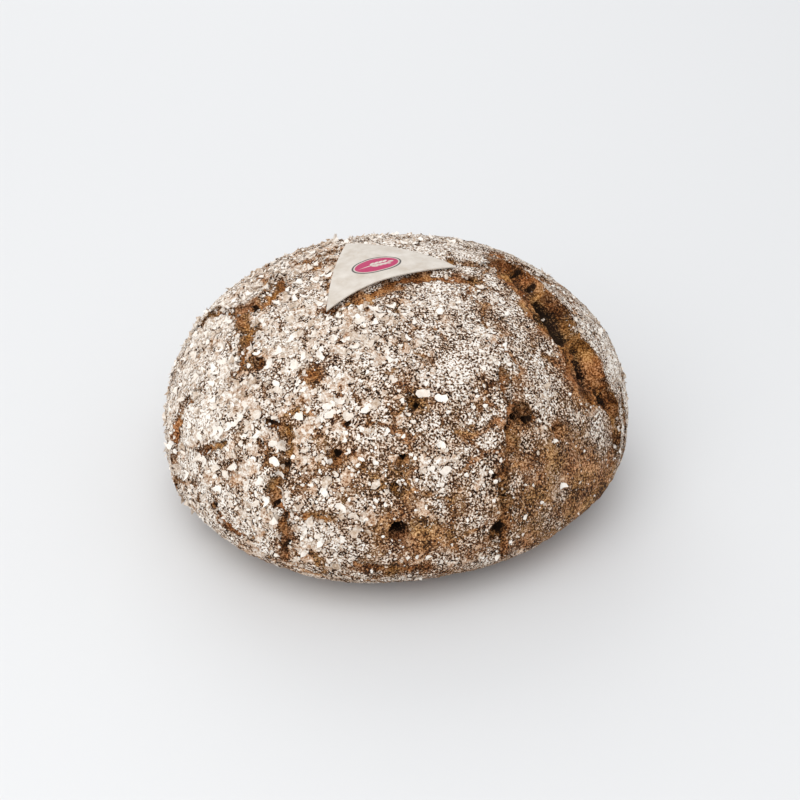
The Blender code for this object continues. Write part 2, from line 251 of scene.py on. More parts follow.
def nearest_tear(points, pieces):
    """For each point: where it lies across, along and outward from the tear whose lip is nearest."""
    found = []
    for start in range(0, len(points), 20000):
        here = points[start:start + 20000, None, :]
        run = pieces[None, :, 3:6] - pieces[None, :, 0:3]
        offset = here - pieces[None, :, 0:3]
        share = np.clip((offset * run).sum(-1) / np.maximum((run ** 2).sum(-1), 1e-6), 0.0, 1.0)
        away = offset - run * share[..., None]
        distance = np.linalg.norm(away, axis=-1)
        half_width = pieces[None, :, 6] + (pieces[None, :, 7] - pieces[None, :, 6]) * share
        best = np.argmin(distance - half_width, axis=1)
        row = np.arange(len(best))
        away, share = away[row, best], share[row, best]
        distance, half_width = distance[row, best], half_width[row, best]
        outward = away / np.maximum(distance, 1e-6)[:, None]
        place = here[:, 0] - away
        left = (np.cross(place, run[0, best]) * away).sum(-1) >= 0.0
        side = np.where(left, 1.0, -1.0)
        depth, lean, curl, along, length, pit = pieces[best, 8:14].T
        found.append(np.column_stack([distance, half_width, side * distance / half_width, depth, lean, curl,
                                      along + share * length, pit, best, outward]))
    columns = np.concatenate(found).T
    names = ("distance", "half_width", "across", "depth", "lean", "curl", "along", "pit", "piece")
    tear = dict(zip(names, columns))
    tear["outward"] = columns[9:12].T
    tear["clearance"] = tear["distance"] - tear["half_width"]
    return tear


def ragged(points, settings):
    """Points moved by a little noise, so that what is measured from them has ragged edges."""
    coarse = noise_vectors_at(points, 5.0, 1) * settings.tear_raggedness
    fine = noise_vectors_at(points, 1.9, 2) * settings.tear_raggedness * 0.5
    return points + (coarse + fine) / MM


def hollows_at(points):
    """How far down the hollows go at each point, and how far inside the nearest one it lies, 1 at its middle."""
    depth = np.zeros(len(points))
    within = np.full(len(points), -9.0)
    for azimuth, latitude, radius, drop in HOLES:
        place = untorn(rays_of(np.array([azimuth]), np.array([latitude])))[0]
        inward = 1.0 - np.linalg.norm(points - place, axis=1) / radius
        depth = np.maximum(depth, drop * smoothstep(inward / 0.7))
        within = np.maximum(within, inward)
    return depth, within


def directions_mesh(pieces, settings):
    """A sphere of directions whose faces are small in the tears, middling on the dome and large below."""
    mesh = bmesh.new()
    bmesh.ops.create_icosphere(mesh, subdivisions=1, radius=1.0)
    bmesh.ops.subdivide_edges(mesh, edges=mesh.edges[:], cuts=GEODESIC_CUTS, use_grid_fill=True)
    for _ in range(3):
        rays = np.array([vert.co for vert in mesh.verts])
        rays /= np.linalg.norm(rays, axis=1)[:, None]
        ends = np.array([[vert.index for vert in edge.verts] for edge in mesh.edges])
        crust = rays * np.linalg.norm(untorn(rays), axis=1)[:, None]
        length = np.linalg.norm(crust[ends[:, 0]] - crust[ends[:, 1]], axis=1)
        middle = (crust[ends[:, 0]] + crust[ends[:, 1]]) / 2.0
        tear = nearest_tear(middle, pieces)
        past = tear["clearance"] - length / 2.0
        longest = np.full(len(length), settings.crust_edge / MM)
        longest[middle[:, 2] < -0.75 * BELLY_HEIGHT] = 4.0
        longest[(past < 0.8) | (hollows_at(middle)[1] > -0.6)] = settings.tear_edge / MM
        longest[(past < 1.0) & (tear["half_width"] > 4.0) & (tear["depth"] > 5.2)] = settings.gape_edge / MM
        edges = list(mesh.edges)
        chosen = [edges[index] for index in np.flatnonzero(length > longest)]
        bmesh.ops.subdivide_edges(mesh, edges=chosen, cuts=1, use_grid_fill=False)
        big = [face for face in mesh.faces if len(face.verts) > 3]
        bmesh.ops.triangulate(mesh, faces=big, quad_method='SHORT_EDGE')
        mesh.verts.index_update()
    return mesh


def crumb_relief(points, tear, bare, settings):
    """Height of the torn crumb: strands drawn out across the tear, lumps between them, and open pores."""
    relief = np.zeros(len(points))
    inside = np.flatnonzero(bare > 0.01)
    place = points[inside]
    across = (tear["across"] * tear["half_width"])[inside]
    strands = np.column_stack([tear["along"][inside] / 1.7, across / 5.5, tear["piece"][inside] * 0.13])
    web = 1.0 - 2.2 * np.abs(noise_at(strands, 1.0, 3))
    lumps = noise_at(place, 3.4, 4)
    fine = noise_at(place, 1.1, 5)
    nearest, _ = cells_at(place + 0.6 * noise_vectors_at(place, 2.0, 6), 2.6, 7)
    pores = smoothstep((0.42 - nearest) / 0.25)
    ledges = 1.0 - 2.6 * np.abs(noise_at(place, 6.5, 27))
    ledges *= smoothstep((tear["half_width"][inside] - 3.5) / 2.5)
    relief[inside] = (0.45 * web + 0.8 * lumps + 0.22 * fine - 1.0 * pores + 1.5 * ledges)
    relief[inside] *= settings.crumb_roughness / MM
    return relief * bare


def scales_at(points, length, seed):
    """Height of overlapping scales: in each scattered cell a little plane with a tilt of its own."""
    shift = Vector((17.3, -9.1, 5.7)) * seed
    heights = []
    for point in points.tolist():
        here = Vector(point) / length + shift
        middle = noise.voronoi(here)[1][0]
        heights.append((here - middle).dot(noise.cell_vector(middle * 7.0)))
    return np.array(heights)


def torn_crust(rays, pieces, settings):
    """The finished crust for each direction: its place, how bare and floured it is, and the painted shade of its depth.
    """
    crust = untorn(rays)
    lookup = ragged(crust, settings)
    tear = nearest_tear(lookup, pieces)
    across, lean, half_width = tear["across"], tear["lean"], tear["half_width"]
    wide = smoothstep((half_width - 3.0) / 2.0) * smoothstep((tear["depth"] - 4.5) / 0.8)
    gaping = np.maximum(wide + tear["pit"], 0.3 + 0.7 * smoothstep(0.5 + 1.6 * noise_at(crust, 6.0, 18)))
    gaping = np.minimum(gaping, 1.0)
    reach = np.where(across < lean, 1.0 + lean, 1.0 - lean)
    inward = 1.0 - np.abs(across - lean) / reach
    inside = smoothstep(inward / 0.14)
    floor = tear["depth"] * np.minimum(1.0, 0.35 + half_width / tear["depth"]) * (0.4 + 0.6 * gaping)
    step = np.clip(0.28 / reach ** 2, 0.08, 0.5)
    slope = smoothstep(inward * (1.0 + 0.7 * tear["pit"]))
    bank = 0.45 * smoothstep(inward / 0.75) + 0.55 * smoothstep((inward - 0.7) / 0.28)
    slope = slope + (bank - slope) * wide * (reach > 1.0)
    drop = floor * (step * inside + (1.0 - step) * slope)
    hollow_depth, within = hollows_at(lookup)
    drop = drop + hollow_depth
    steepness = np.clip(floor / (reach * half_width), 0.0, 1.4)
    hollow = smoothstep(inward / 0.1) * (1.0 - smoothstep((inward - 0.18) / 0.4))
    undercut = settings.tear_undercut / MM * steepness * hollow
    speckle = noise_at(crust, 1.9, 19)
    inset = 0.3 - 0.28 * wide + 0.4 * (1.0 - gaping)
    bare = smoothstep((inward - inset + 0.16 * speckle) / 0.2)
    bare = np.maximum(bare, smoothstep((within + 0.1) / 0.3))
    inside = np.maximum(inside, smoothstep((within + 0.05) / 0.2))

    outside = np.maximum(tear["clearance"], 0.0)
    patchy = np.clip(0.55 + 0.9 * noise_at(crust, 7.0, 8), 0.0, 1.3)
    curl = tear["curl"] * patchy * np.exp(-outside / 1.7)

    warped = crust + 2.2 * noise_vectors_at(crust, 8.0, 11)
    nearest, second = cells_at(warped, 15.0, 12)
    crazed = smoothstep(1.0 - (second - nearest) * 15.0 / 1.1) * smoothstep(noise_at(crust, 22.0, 13) * 3.0 + 0.4)
    crazed *= (1.0 - inside) * smoothstep(outside / 3.0)
    upright = smoothstep((rays[:, 2] + 0.42) / 0.12)

    relief = crumb_relief(crust, tear, inside, settings)
    low = on_base(crust)[:, 2]
    flour = np.clip(floured(crust, tear, low) - 0.5 * crazed, 0.0, 1.0)
    flaky = flakiness(on_base(crust))
    caked = np.clip(1.1 * flaky - 0.1 + 0.4 * noise_at(warped, 9.0, 22), 0.0, 1.0) * smoothstep(flour / 0.5)
    swell = 0.5 * noise_at(crust, 9.0, 9) + 0.35 * noise_at(crust, 3.6, 10) + 0.3 * speckle
    swell += settings.scale_relief / settings.crust_relief * flaky * scales_at(warped, 5.0, 25)
    height = (swell * settings.crust_relief / MM + curl) * (1.0 - inside) - drop + relief - 0.6 * crazed
    placed = crust + rays * (height * upright)[:, None] + tear["outward"] * (undercut * upright)[:, None]
    dusting = (0.26 + 0.25 * noise_at(crust, 3.0, 24)) * (1.0 - wide) - 0.9 * np.clip(drop / 6.0, 0.0, 1.0)
    # Painted shade: how dark the crumb is painted, growing with the drop below the lip against the width of the tear,
    # as the shade far down in a narrow gap
    depth_shade = np.clip((drop - 1.4 * relief) / np.minimum(8.5, 1.5 + 1.3 * half_width), 0.0, 1.0) * bare
    # rim: a band just outside the lips of the wide tears, where the flour has rubbed off; its lighter orange is partly
    # toasted crust and partly a painted highlight
    rim = np.exp(-outside / 1.1) * wide * smoothstep(0.6 + noise_at(crust, 5.0, 26) * 1.5)
    # Painted light: lip lights the wall that rises from a tear's bottom to the left lip of its route, the wall that
    # faces the light, in a lighter orange
    lip = smoothstep((0.5 - inward + 0.2 * speckle) / 0.25) * (across > lean) * bare
    return on_base(placed), {
        "crumb": np.maximum(bare, 0.8 * rim) * upright,
        # Painted shade of the depth, nearly black in the middle of each hollow
        "depth_shade": np.maximum(depth_shade, smoothstep(within / 0.45)),
        "flour": np.clip((flour + (dusting - flour) * bare) * (1.0 - 0.85 * rim), 0.0, 1.0),
        "caked": caked * (1.0 - inside),
        # Painted light: the lighter orange goes on the lit wall and rims of the wide tears, and on the shallow parts of
        # the narrow tears where the depth shade is low
        "lip": np.maximum(lip, rim) * wide + 0.85 * (1.0 - wide) * bare * smoothstep((0.7 - depth_shade) / 0.3),
    }


def floured(crust, tear, height):
    """How thickly flour lies, from 0 to 1: in patches, thinner at the foot and along the tears."""
    cover = 0.60 + 0.16 * noise_at(crust, 24.0, 14) + 0.30 * noise_at(crust, 8.0, 15)
    for azimuth, latitude, radius, change in FLOUR_SPOTS:
        place = untorn(rays_of(np.array([azimuth]), np.array([latitude])))[0]
        cover += change * np.exp(-(((crust - place) / radius) ** 2).sum(axis=1))
    rubbed = np.exp(-np.maximum(tear["clearance"], 0.0) / 1.4) * smoothstep(0.5 + noise_at(crust, 6.0, 16) * 2.5)
    return cover - 0.4 * rubbed - 0.35 * smoothstep((9.0 - height) / 6.0)


def flakiness(placed):
    """Where bran flakes lie rather than fine meal: mostly over the left of the crown and the left side."""
    left = smoothstep((42.0 - placed[:, 0]) / 85.0)
    high = smoothstep((placed[:, 2] - 45.0) / 40.0)
    patches = noise_at(placed, 14.0, 17)
    return np.clip(0.12 + 0.5 * left + 0.22 * high * left + 0.45 * patches, 0.0, 1.0)


def under_label(placed):
    """1 for places that the label covers, 0 for the rest."""
    weights = corner_weights(placed[:, :2])
    return smoothstep((weights.min(axis=1) + 0.035) / 0.02)


def covers(placed, fields):
    """How thickly each kind of loose thing lies, from 0 to 1, by the name of the attribute that holds it."""
    flour, crumb = fields["flour"], fields["crumb"]
    clear = smoothstep((placed[:, 2] - 2.5) / 3.0) * (1.0 - under_label(placed))
    high = clear * smoothstep((placed[:, 2] - 6.0) / 26.0)
    flaky = flakiness(placed)
    return {
        "meal_cover": clear * (smoothstep(flour * 1.4) * (1.0 - 0.35 * flaky) + 0.003 * crumb),
        "grit_cover": clear * ((0.3 + 0.7 * (1.0 - flour)) * (1.0 - crumb) + 0.1 * crumb),
        "flake_cover": high * (flour * (0.1 + 0.9 * flaky) + 0.003 * crumb),
        "bran_cover": high * smoothstep(flour * 1.6) * flaky * (1.0 - crumb),
        "clump_cover": high * smoothstep((flour - 0.45) / 0.4) * flaky,
    }


def write_fields(data, fields):
    """Store each array as a point attribute of the mesh."""
    for name, values in fields.items():
        data.attributes.new(name, 'FLOAT', 'POINT').data.foreach_set("value", values.astype(np.float32))


def lay_out_crust(data, rays):
    """A map of the crust for baking: the dome as one disc, and the underside as a small disc in a corner."""
    corners = np.empty(len(data.loops), np.int32)
    data.loops.foreach_get("vertex_index", corners)
    rays = rays[corners].reshape(-1, 3, 3)
    tilt = np.arccos(np.clip(rays[..., 2], -1.0, 1.0))
    plan = rays[..., :2] / np.maximum(np.hypot(rays[..., 0], rays[..., 1]), 1e-6)[..., None]
    split = math.radians(118.0)
    below = tilt.mean(axis=1) > split
    dome = 0.5 + plan * (0.47 * np.sin(tilt / 2.0) / math.sin(split / 2.0 + 0.02))[..., None]
    foot = 0.075 + plan * (0.065 * np.sin((math.pi - tilt) / 2.0) / math.sin((math.pi - split) / 2.0 + 0.02))[..., None]
    layout = np.where(below[:, None, None], foot, dome)
    data.uv_layers.new(name="OFBake").uv.foreach_set("vector", layout.astype(np.float32).ravel())


# ================================================================ materials
def linear(code):
    """An sRGB hex colour as linear red, green, blue and alpha."""
    parts = [int(code[index:index + 2], 16) / 255.0 for index in (1, 3, 5)]
    return (*[part / 12.92 if part <= 0.04045 else ((part + 0.055) / 1.055) ** 2.4 for part in parts], 1.0)


def per(millimetres):
    """The scale that gives a pattern on coordinates in metres cells of this size."""
    return 1.0 / (millimetres * MM)


def add(tree, kind, inputs=(), **settings):
    """Add a node with its settings, and give each named input a value or a link."""
    node = tree.nodes.new(kind)
    for name, value in settings.items():
        setattr(node, name, value)
    for name, value in dict(inputs).items():
        if isinstance(value, bpy.types.NodeSocket):
            tree.links.new(value, node.inputs[name])
        else:
            node.inputs[name].default_value = value
    return node


def set_ramp(node, stops):
    """Give a colour ramp its stops, as (place, hex colour)."""
    ramp = node.color_ramp
    while len(ramp.elements) > len(stops):
        ramp.elements.remove(ramp.elements[-1])
    while len(ramp.elements) < len(stops):
        ramp.elements.new(1.0)
    for element, (place, code) in zip(ramp.elements, stops):
        element.position = place
        element.color = linear(code)


def new_material(name, roughness, specular):
    """An empty material with one shader, and that shader."""
    material = bpy.data.materials.new(name)
    material.use_nodes = True
    shader = material.node_tree.nodes["Principled BSDF"]
    shader.inputs["Roughness"].default_value = roughness
    shader.inputs["Specular IOR Level"].default_value = specular
    shader.inputs["IOR"].default_value = 1.45
    return material, shader


def crust_material(colours):
    """Baked rye crust: matt brown dough skin under a broken film of flour, with torn crumb in the tears.

    The flour film breaks into grains of about a millimetre, white on top with dark gaps between them, partly crust
    showing through and partly painted shade, and cakes into closed patches ringed by a painted shadow line; the skin
    and the crumb are speckled browns, painted shade turns the crumb nearly black far down in the tears and hollows,
    and painted light, with some toasting, makes the lips and rims a lighter orange.
    """
    material, shader = new_material("Rye crust and crumb", 0.88, 0.2)
    tree = material.node_tree
    place = add(tree, "ShaderNodeTexCoord").outputs["Object"]
    # The third attribute read here holds the painted shade of the crumb's depth, the fifth the painted light of the
    # lips
    flour, crumb, depth_shade, caked, lip = [add(tree, "ShaderNodeAttribute", attribute_name=name).outputs["Fac"]
                                      for name in ("flour", "crumb", "depth_shade", "caked", "lip")]
    warp = add(tree, "ShaderNodeTexNoise", {"Vector": place, "Scale": per(2.0), "Detail": 1.0})
    bent = add(tree, "ShaderNodeVectorMath", {0: warp.outputs["Color"], 1: (0.6 * MM,) * 3, 2: place},
               operation='MULTIPLY_ADD').outputs[0]
    grain = add(tree, "ShaderNodeTexNoise", {"Vector": bent, "Scale": per(0.75), "Detail": 2.0, "Roughness": 0.5})
    speck = add(tree, "ShaderNodeTexNoise", {"Vector": place, "Scale": per(0.7), "Detail": 2.0, "Roughness": 0.6})
    browning = add(tree, "ShaderNodeTexNoise", {"Vector": place, "Scale": per(9.0), "Detail": 4.0, "Roughness": 0.6})

    mixed = add(tree, "ShaderNodeMath", {0: browning.outputs["Fac"], 1: 0.7, 2: speck.outputs["Fac"]},
                operation='MULTIPLY_ADD')
    level = add(tree, "ShaderNodeMath", {0: mixed.outputs[0], 1: -0.35}, operation='ADD')
    pebble = add(tree, "ShaderNodeTexVoronoi", {"Vector": place, "Scale": per(0.95), "Randomness": 1.0})
    tone = add(tree, "ShaderNodeSeparateColor", {0: pebble.outputs["Color"]})
    round_off = add(tree, "ShaderNodeMath", {0: pebble.outputs["Distance"], 1: -0.28, 2: level.outputs[0]},
                    operation='MULTIPLY_ADD')
    pebbled = add(tree, "ShaderNodeMath", {0: tone.outputs[0], 1: 0.16, 2: round_off.outputs[0]},
                  operation='MULTIPLY_ADD')
    skin = add(tree, "ShaderNodeValToRGB", {"Fac": pebbled.outputs[0]})
    set_ramp(skin, ((0.32, "#2A1508"), (0.41, "#633C1F"), (0.48, colours["skin"]), (0.55, "#B68A5E"),
                    (0.66, "#E3C49E")))
    torn = add(tree, "ShaderNodeValToRGB", {"Fac": level.outputs[0]})
    set_ramp(torn, ((0.36, "#220F04"), (0.44, "#52300F"), (0.5, colours["crumb"]), (0.57, "#7F532E"),
                    (0.68, "#C49A70")))
    # A lighter orange for the lips and rims: partly toasted crust, partly painted light on the walls that face the
    # light
    toasted_and_lit_rims = add(tree, "ShaderNodeValToRGB", {"Fac": level.outputs[0]})
    set_ramp(toasted_and_lit_rims, ((0.36, "#4A2408"), (0.45, "#8A4D19"), (0.54, "#A6692F"), (0.66, "#D8AC7C")))
    rimmed_and_lit_crumb = add(tree, "ShaderNodeMix", {0: lip, 6: torn.outputs["Color"], 7: toasted_and_lit_rims.outputs["Color"]},
                data_type='RGBA')
    # Painted shade: the crumb goes nearly black where its depth shade is high, broken up by the crumb's own speckle
    ragged_depth_shade = add(tree, "ShaderNodeMath", {0: level.outputs[0], 1: -1.1, 2: depth_shade}, operation='MULTIPLY_ADD')
    shade = add(tree, "ShaderNodeMapRange", {"Value": ragged_depth_shade.outputs[0], "From Min": -0.2, "From Max": 0.2,
                                             "To Max": 0.96})
    shaded_crumb = add(tree, "ShaderNodeMix", {0: shade.outputs[0], 6: rimmed_and_lit_crumb.outputs[2], 7: linear("#160902")},
                 data_type='RGBA')
    plain = add(tree, "ShaderNodeMix", {0: crumb, 6: skin.outputs["Color"], 7: shaded_crumb.outputs[2]},
                data_type='RGBA')
    drift = add(tree, "ShaderNodeTexNoise", {"Vector": place, "Scale": per(13.0), "Detail": 3.0})
    hue = add(tree, "ShaderNodeValToRGB", {"Fac": drift.outputs["Fac"]})
    set_ramp(hue, ((0.38, "#8C5636"), (0.5, "#8C5C34"), (0.62, "#8C6632")))
    under = add(tree, "ShaderNodeMix", {0: 0.4, 6: plain.outputs[2], 7: hue.outputs["Color"]},
                data_type='RGBA', blend_type='COLOR')

    patches = add(tree, "ShaderNodeTexNoise", {"Vector": place, "Scale": per(3.6), "Detail": 3.0})
    cover = add(tree, "ShaderNodeMath", {0: patches.outputs["Fac"], 1: 0.9, 2: flour}, operation='MULTIPLY_ADD')
    level = add(tree, "ShaderNodeMath", {0: cover.outputs[0], 1: 0.3, 2: -0.795}, operation='MULTIPLY_ADD')
    above = add(tree, "ShaderNodeMath", {0: grain.outputs["Fac"], 1: level.outputs[0]}, operation='ADD')
    body = add(tree, "ShaderNodeMath", {0: above.outputs[0], 1: 4.4, 2: 0.46}, operation='MULTIPLY_ADD')
    sheets = add(tree, "ShaderNodeTexNoise", {"Vector": bent, "Scale": per(5.5), "Detail": 3.0, "Roughness": 0.55})
    prone = add(tree, "ShaderNodeMath", {0: caked, 1: 0.2, 2: sheets.outputs["Fac"]}, operation='MULTIPLY_ADD')
    sheet = add(tree, "ShaderNodeMapRange", {"Value": prone.outputs[0], "From Min": 0.645, "From Max": 0.665})
    # Painted shadow: a narrow band at the edge of each caked sheet where the film goes darker, partly a real gap in the
    # flour and partly the shadow of the sheet's edge
    seam = add(tree, "ShaderNodeMapRange", {"Value": prone.outputs[0], "From Min": 0.62, "From Max": 0.645})
    seam_shadow = add(tree, "ShaderNodeMath", {0: sheet.outputs[0], 1: seam.outputs[0]}, operation='SUBTRACT')
    cloud = add(tree, "ShaderNodeTexNoise", {"Vector": place, "Scale": per(1.8), "Detail": 3.0})
    spread = add(tree, "ShaderNodeMath", {0: cloud.outputs["Fac"], 1: 1.1, 2: 0.04}, operation='MULTIPLY_ADD')
    filled = add(tree, "ShaderNodeMath", {0: body.outputs[0], 1: 0.3, 2: spread.outputs[0]},
                 operation='MULTIPLY_ADD')
    closed = add(tree, "ShaderNodeMix", {0: sheet.outputs[0], 2: body.outputs[0], 3: filled.outputs[0]})
    thick = add(tree, "ShaderNodeMath", {0: seam_shadow.outputs[0], 1: 0.4, 2: closed.outputs[0]},
                operation='MULTIPLY_ADD', use_clamp=True)
    # Partly painted shade: the low end of the film, near black, is the gap between flour grains, partly crust showing
    # through and partly painted shade
    film = add(tree, "ShaderNodeValToRGB", {"Fac": thick.outputs[0]})
    set_ramp(film, ((0.0, "#190C03"), (0.26, "#432A13"), (0.42, "#846347"), (0.56, "#B99D85"), (0.74, "#D4C1AF"),
                    (0.9, "#E9DFD3"), (1.0, colours["flour"])))
    thin = add(tree, "ShaderNodeMapRange", {"Value": flour, "From Min": 0.62, "From Max": 0.15, "To Max": 0.9})
    stained = add(tree, "ShaderNodeMix", {0: thin.outputs[0], 6: film.outputs["Color"], 7: linear("#EBC294")},
                  data_type='RGBA', blend_type='MULTIPLY')
    lies = add(tree, "ShaderNodeMapRange", {"Value": thick.outputs[0], "From Min": 0.36, "From Max": 0.52})
    gaps = add(tree, "ShaderNodeMapRange", {"Value": flour, "From Min": 0.12, "From Max": 0.55})
    reach = add(tree, "ShaderNodeMath", {0: lies.outputs[0], 1: gaps.outputs[0]}, operation='MAXIMUM')
    near = add(tree, "ShaderNodeMapRange", {"Value": flour, "From Max": 0.08})
    reach = add(tree, "ShaderNodeMath", {0: reach.outputs[0], 1: near.outputs[0]}, operation='MULTIPLY')
    colour = add(tree, "ShaderNodeMix", {0: reach.outputs[0], 6: under.outputs[2], 7: stained.outputs[2]},
                 data_type='RGBA')
    tree.links.new(colour.outputs[2], shader.inputs["Base Color"])

    relief = add(tree, "ShaderNodeMath", {0: thick.outputs[0], 1: 0.8, 2: pebbled.outputs[0]},
                 operation='MULTIPLY_ADD')
    relief = add(tree, "ShaderNodeMath", {0: sheet.outputs[0], 1: 1.0, 2: relief.outputs[0]},
                 operation='MULTIPLY_ADD')
    bump = add(tree, "ShaderNodeBump", {"Height": relief.outputs[0], "Strength": 0.8, "Distance": 0.4 * MM})
    tree.links.new(bump.outputs["Normal"], shader.inputs["Normal"])
    return material


def loose_material(name, stops, mottle, roughness):
    """Dry milled rye lying loose on the crust: each piece has a shade of its own, a little mottled."""
    material, shader = new_material(name, roughness, 0.2)
    tree = material.node_tree
    shade = add(tree, "ShaderNodeAttribute", attribute_name="shade").outputs["Fac"]
    place = add(tree, "ShaderNodeAttribute", attribute_name="place").outputs["Vector"]
    turn = add(tree, "ShaderNodeMath", {0: shade, 1: 40.0}, operation='MULTIPLY')
    spots = add(tree, "ShaderNodeTexNoise", {"Vector": place, "W": turn.outputs[0], "Scale": 4.5, "Detail": 3.0},
                noise_dimensions='4D')
    drift = add(tree, "ShaderNodeMath", {0: spots.outputs["Fac"], 1: mottle, 2: -0.5 * mottle},
                operation='MULTIPLY_ADD')
    level = add(tree, "ShaderNodeMath", {0: shade, 1: 0.8, 2: drift.outputs[0]}, operation='MULTIPLY_ADD',
                use_clamp=True)
    ramp = add(tree, "ShaderNodeValToRGB", {"Fac": level.outputs[0]})
    set_ramp(ramp, stops)
    tree.links.new(ramp.outputs["Color"], shader.inputs["Base Color"])
    return material


def wafer_material(colours):
    """Edible wafer paper: pressed starch sheet, matt and cream, faintly mottled, with a print in two inks."""
    material, shader = new_material("Wafer paper", 0.6, 0.35)
    tree = material.node_tree
    place = add(tree, "ShaderNodeTexCoord").outputs["Object"]
    cloud = add(tree, "ShaderNodeTexNoise", {"Vector": place, "Scale": per(6.0), "Detail": 5.0, "Roughness": 0.6})
    sheet = add(tree, "ShaderNodeValToRGB", {"Fac": cloud.outputs["Fac"]})
    set_ramp(sheet, ((0.3, "#C1B5A6"), (0.5, colours["wafer"]), (0.7, "#D8D0C5")))
    speck = add(tree, "ShaderNodeTexVoronoi", {"Vector": place, "Scale": per(3.2), "Randomness": 1.0})
    near = add(tree, "ShaderNodeMapRange", {"Value": speck.outputs["Distance"], "From Min": 0.13, "From Max": 0.07,
                                            "To Max": 0.35})
    specked = add(tree, "ShaderNodeMix", {0: near.outputs[0], 6: sheet.outputs["Color"], 7: linear("#B99A73")},
                  data_type='RGBA')
    printed = label_print(tree, specked.outputs[2], colours)
    tree.links.new(printed, shader.inputs["Base Color"])
    fibre = add(tree, "ShaderNodeTexNoise", {"Vector": place, "Scale": per(0.8), "Detail": 3.0})
    bump = add(tree, "ShaderNodeBump", {"Height": fibre.outputs["Fac"], "Strength": 0.35, "Distance": 0.12 * MM})
    tree.links.new(bump.outputs["Normal"], shader.inputs["Normal"])
    return material


def label_print(tree, sheet, colours):
    """A plain oval field in one ink with an ear of grain left open in it, and a thin dark ring round it."""
    spot = add(tree, "ShaderNodeUVMap", uv_map="print").outputs["UV"]

    def oval(centre, turn, half_sizes):
        """1 inside an oval, 0 outside, with an edge as soft as ink on paper."""
        local = add(tree, "ShaderNodeMapping", {"Vector": spot, "Location": (*centre, 0.0),
                                                "Rotation": (0.0, 0.0, turn), "Scale": (*half_sizes, 1.0)},
                    vector_type='TEXTURE')
        reach = add(tree, "ShaderNodeVectorMath", {0: local.outputs[0]}, operation='LENGTH')
        soft = 0.25 / min(half_sizes)
        return add(tree, "ShaderNodeMapRange", {"Value": reach.outputs["Value"], "From Min": 1.0 + soft / 2.0,
                                                "From Max": 1.0 - soft / 2.0}).outputs[0]

    ring = oval((0.0, 0.0), 0.0, (10.6, 6.6))
    gap = oval((0.0, 0.0), 0.0, (9.9, 5.9))
    field = oval((0.0, 0.0), 0.0, (9.4, 5.4))
    ear = oval((-2.6, 0.0), 0.0, (4.4, 0.28))
    for pair in range(4):
        for side in (-1, 1):
            kernel = oval((-1.4 + 1.9 * pair, side * 1.15), side * 0.5, (1.35, 0.62))
            ear = add(tree, "ShaderNodeMath", {0: ear, 1: kernel}, operation='MAXIMUM').outputs[0]
    tip = oval((6.3, 0.0), 0.0, (1.3, 0.6))
    ear = add(tree, "ShaderNodeMath", {0: ear, 1: tip}, operation='MAXIMUM').outputs[0]
    colour = sheet
    for shape, ink in ((ring, linear("#3A3634")), (gap, sheet), (field, linear(colours["ink"])), (ear, sheet)):
        colour = add(tree, "ShaderNodeMix", {0: shape, 6: colour, 7: ink}, data_type='RGBA').outputs[2]
    return colour


# ================================================================ pieces
def new_piece(name, data, material, node):
    """Put a finished mesh in the scene, riding on the loaf's body and standing for a CAD node."""
    data.materials.clear()
    data.materials.append(material)
    piece = bpy.data.objects.new(name, data)
    bpy.context.scene.collection.objects.link(piece)
    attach(piece, "root")
    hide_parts(node)
    return piece


def make_crust(settings):
    """The torn, floured crust of the whole loaf as one closed mesh."""
    pieces = tear_pieces()
    mesh = directions_mesh(pieces, settings)
    rays = np.array([vert.co for vert in mesh.verts])
    rays /= np.linalg.norm(rays, axis=1)[:, None]
    placed, fields = torn_crust(rays, pieces, settings)
    fields.update(covers(placed, fields))
    data = bpy.data.meshes.new("loaf_crust")
    mesh.to_mesh(data)
    mesh.free()
    data.vertices.foreach_set("co", (placed * MM).astype(np.float32).ravel())
    data.update()
    write_fields(data, fields)
    lay_out_crust(data, rays)
    data.shade_smooth()
    colours = {"flour": settings.flour_colour_code, "skin": "#926139", "crumb": "#623B1D"}
    return new_piece("loaf_crust", data, crust_material(colours), "loaf")


def corner_weights(plan):
    """Each plan place's share of the label's three corners."""
    first, second, third = LABEL_CORNERS + plan_shift()[:2]
    sides = np.array([second - first, third - first]).T
    shares = np.linalg.solve(sides, (plan - first).T).T
    return np.column_stack([1.0 - shares.sum(axis=1), shares])


def crown_height(plan):
    """Height of the untorn crust above the base at plan places on the crown."""
    local = plan - plan_shift()[:2]
    height = np.full(len(plan), DOME_RISE)
    for _ in range(8):
        place = np.column_stack([local, height])
        length = np.linalg.norm(place, axis=1)
        height = height * np.linalg.norm(untorn(place / length[:, None]), axis=1) / length
    return height + BELLY_HEIGHT


def label_sheet(settings):
    """Plan places, heights and print places of the label's grid, from corner to corner."""
    steps = [(row, column) for row in range(LABEL_ROWS + 1) for column in range(LABEL_ROWS + 1 - row)]
    weights = np.array([(row, column, LABEL_ROWS - row - column) for row, column in steps]) / LABEL_ROWS
    corners = LABEL_CORNERS + plan_shift()[:2]
    plan = weights @ corners
    for index, bow in enumerate(LABEL_BOWS):
        other = (index + 1) % 3
        edge = corners[other] - corners[index]
        outward = np.array((-edge[1], edge[0])) / np.linalg.norm(edge)
        plan += outward * (bow * 4.0 * weights[:, index] * weights[:, other])[:, None]
    bridge = 4.0 * weights[:, 0] * weights[:, 2]
    flat = np.column_stack([plan, np.zeros(len(plan))])
    waves = 0.35 * noise_at(flat, 16.0, 20) + 0.12 * noise_at(flat, 5.0, 21)
    lift = settings.label_lift / MM * bridge + 0.45 + waves * smoothstep(weights.min(axis=1) * 6.0 + 0.3)
    return steps, plan, crown_height(plan) + lift


